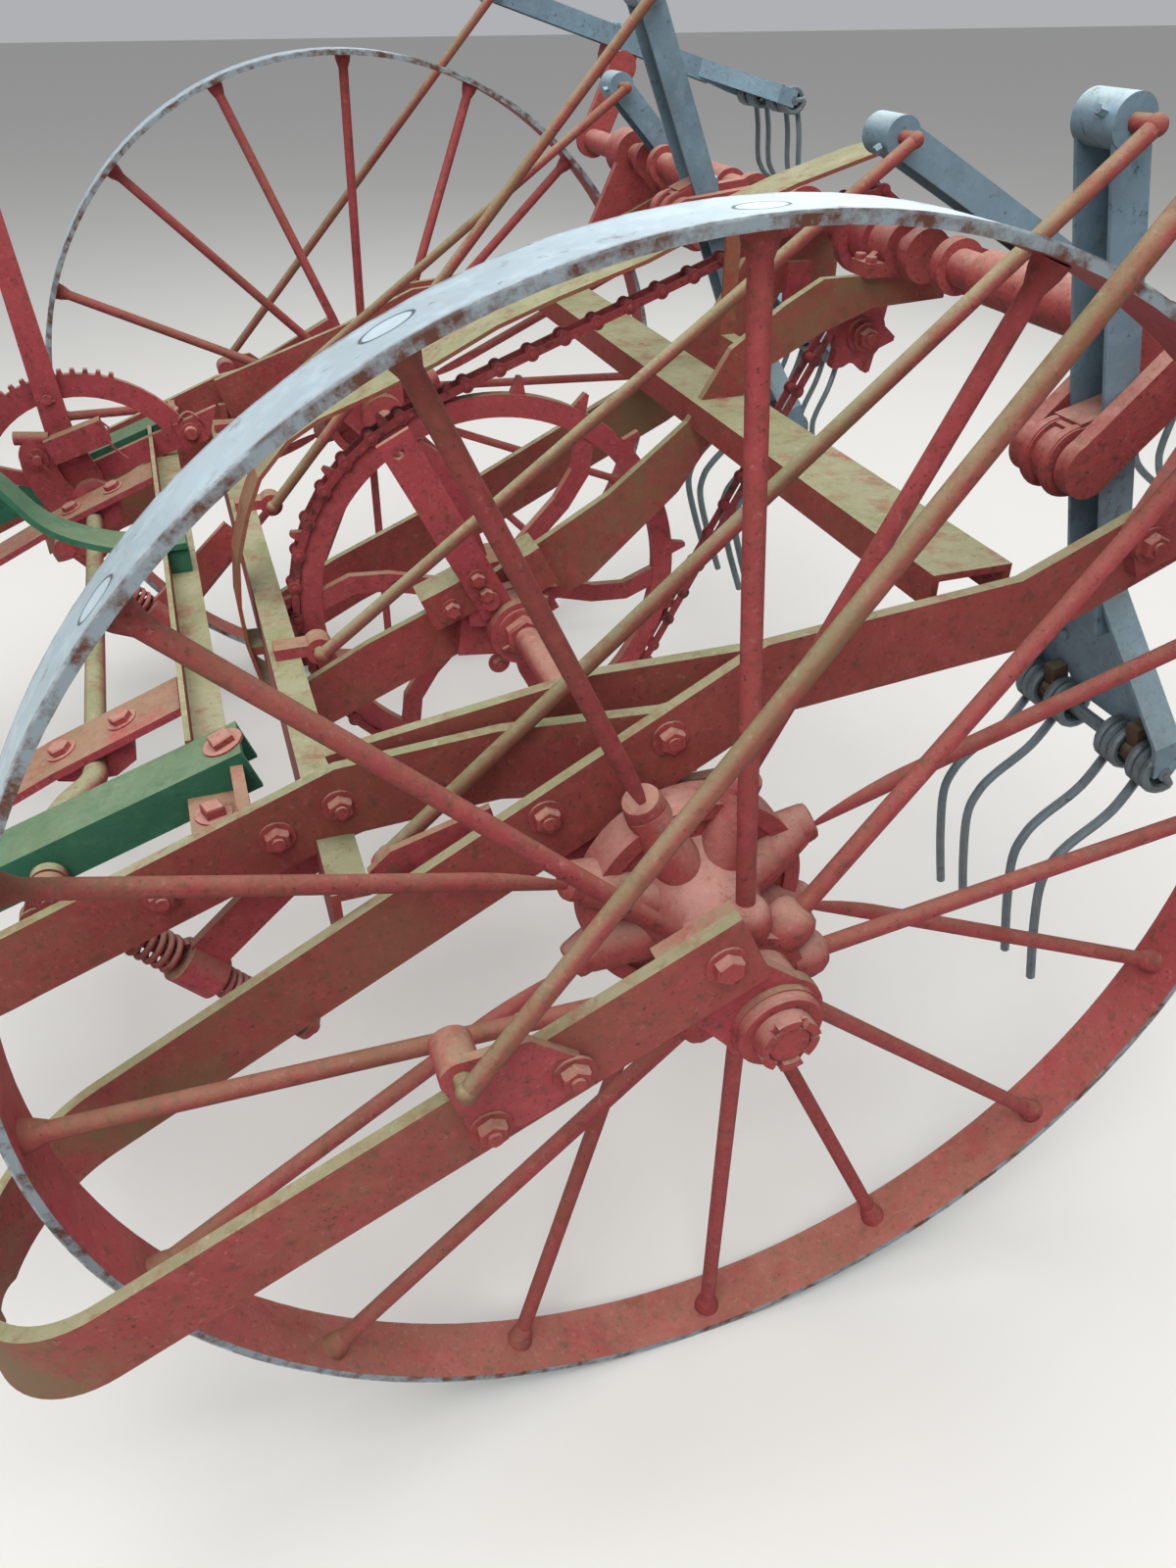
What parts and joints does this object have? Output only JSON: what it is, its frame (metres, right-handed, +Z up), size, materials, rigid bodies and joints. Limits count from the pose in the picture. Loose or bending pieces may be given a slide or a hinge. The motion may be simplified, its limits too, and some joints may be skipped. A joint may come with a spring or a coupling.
{
  "type": "horse-drawn hay tedder",
  "caption": "Horse-drawn hay tedder: two tall spoked wheels, a flat-bar frame, a chain-driven crankshaft that kicks six tined forks, and a pair of shafts.",
  "frame": {"origin": "middle of the bounding box on the ground", "axes": "+X forward along the shafts, +Y to the machine's left, +Z up"},
  "size_m": [3.6222, 2.328, 1.3615],
  "materials": {
    "red_paint": "weathered red paint with rust and moss",
    "red_casting": "weathered red casting",
    "grey_paint": "dull blue-grey paint",
    "green_paint": "faded green paint",
    "rusty_steel": "rusted forged steel",
    "dark_steel": "dark rusted steel"
  },
  "bodies": {
    "frame": {"angle_crossbar": "red_paint", "axle": "rusty_steel", "axle_plates": "red_casting", "centre_arms": "red_paint", "centre_bearing": "red_casting", "chain_guard": "red_paint", "chain_wheel": "red_casting", "clutch_lever": "red_paint", "crank_bearings": "red_casting", "crank_sprocket": "red_casting", "crankshaft": "rusty_steel", "depth_arm": "red_paint", "depth_lever": "red_paint", "drive_chain": "dark_steel", "fork_1": "grey_paint", "fork_2": "grey_paint", "fork_3": "grey_paint", "fork_4": "grey_paint", "fork_5": "grey_paint", "fork_6": "grey_paint", "front_bars": "red_paint", "front_beam": "red_paint", "front_tie": "red_paint", "guide_rods": "red_paint", "idler_sprocket": "red_casting", "lift_tube": "rusty_steel", "loop_left": "red_paint", "loop_right": "red_paint", "pin_bearings": "red_casting", "quadrant": "red_paint", "rear_beam": "red_paint", "rod_brackets": "red_casting", "rod_springs": "dark_steel", "seat": "red_paint", "seat_spring": "green_paint", "shaft_shoes": "red_casting", "shafts": "green_paint", "side_bars": "red_paint", "spring_rod": "rusty_steel", "strap_bars": "red_paint", "tines_1": "grey_paint", "tines_2": "grey_paint", "tines_3": "grey_paint", "tines_4": "grey_paint", "tines_5": "grey_paint", "tines_6": "grey_paint"},
    "wheel_left": {"rim_left": "red_paint", "spokes_left": "red_paint", "hub_left": "red_casting"},
    "wheel_right": {"rim_right": "red_paint", "spokes_right": "red_paint", "hub_right": "red_casting"}
  },
  "joints": [
    {"name": "wheel_left_spin", "type": "hinge", "parent": "frame", "child": "wheel_left", "pos_m": [-0.6489, 0.8575, 0.6], "axis": [0, 1, 0], "continuous": true},
    {"name": "wheel_right_spin", "type": "hinge", "parent": "frame", "child": "wheel_right", "pos_m": [-0.6489, -0.8575, 0.6], "axis": [0, 1, 0], "continuous": true}
  ]
}
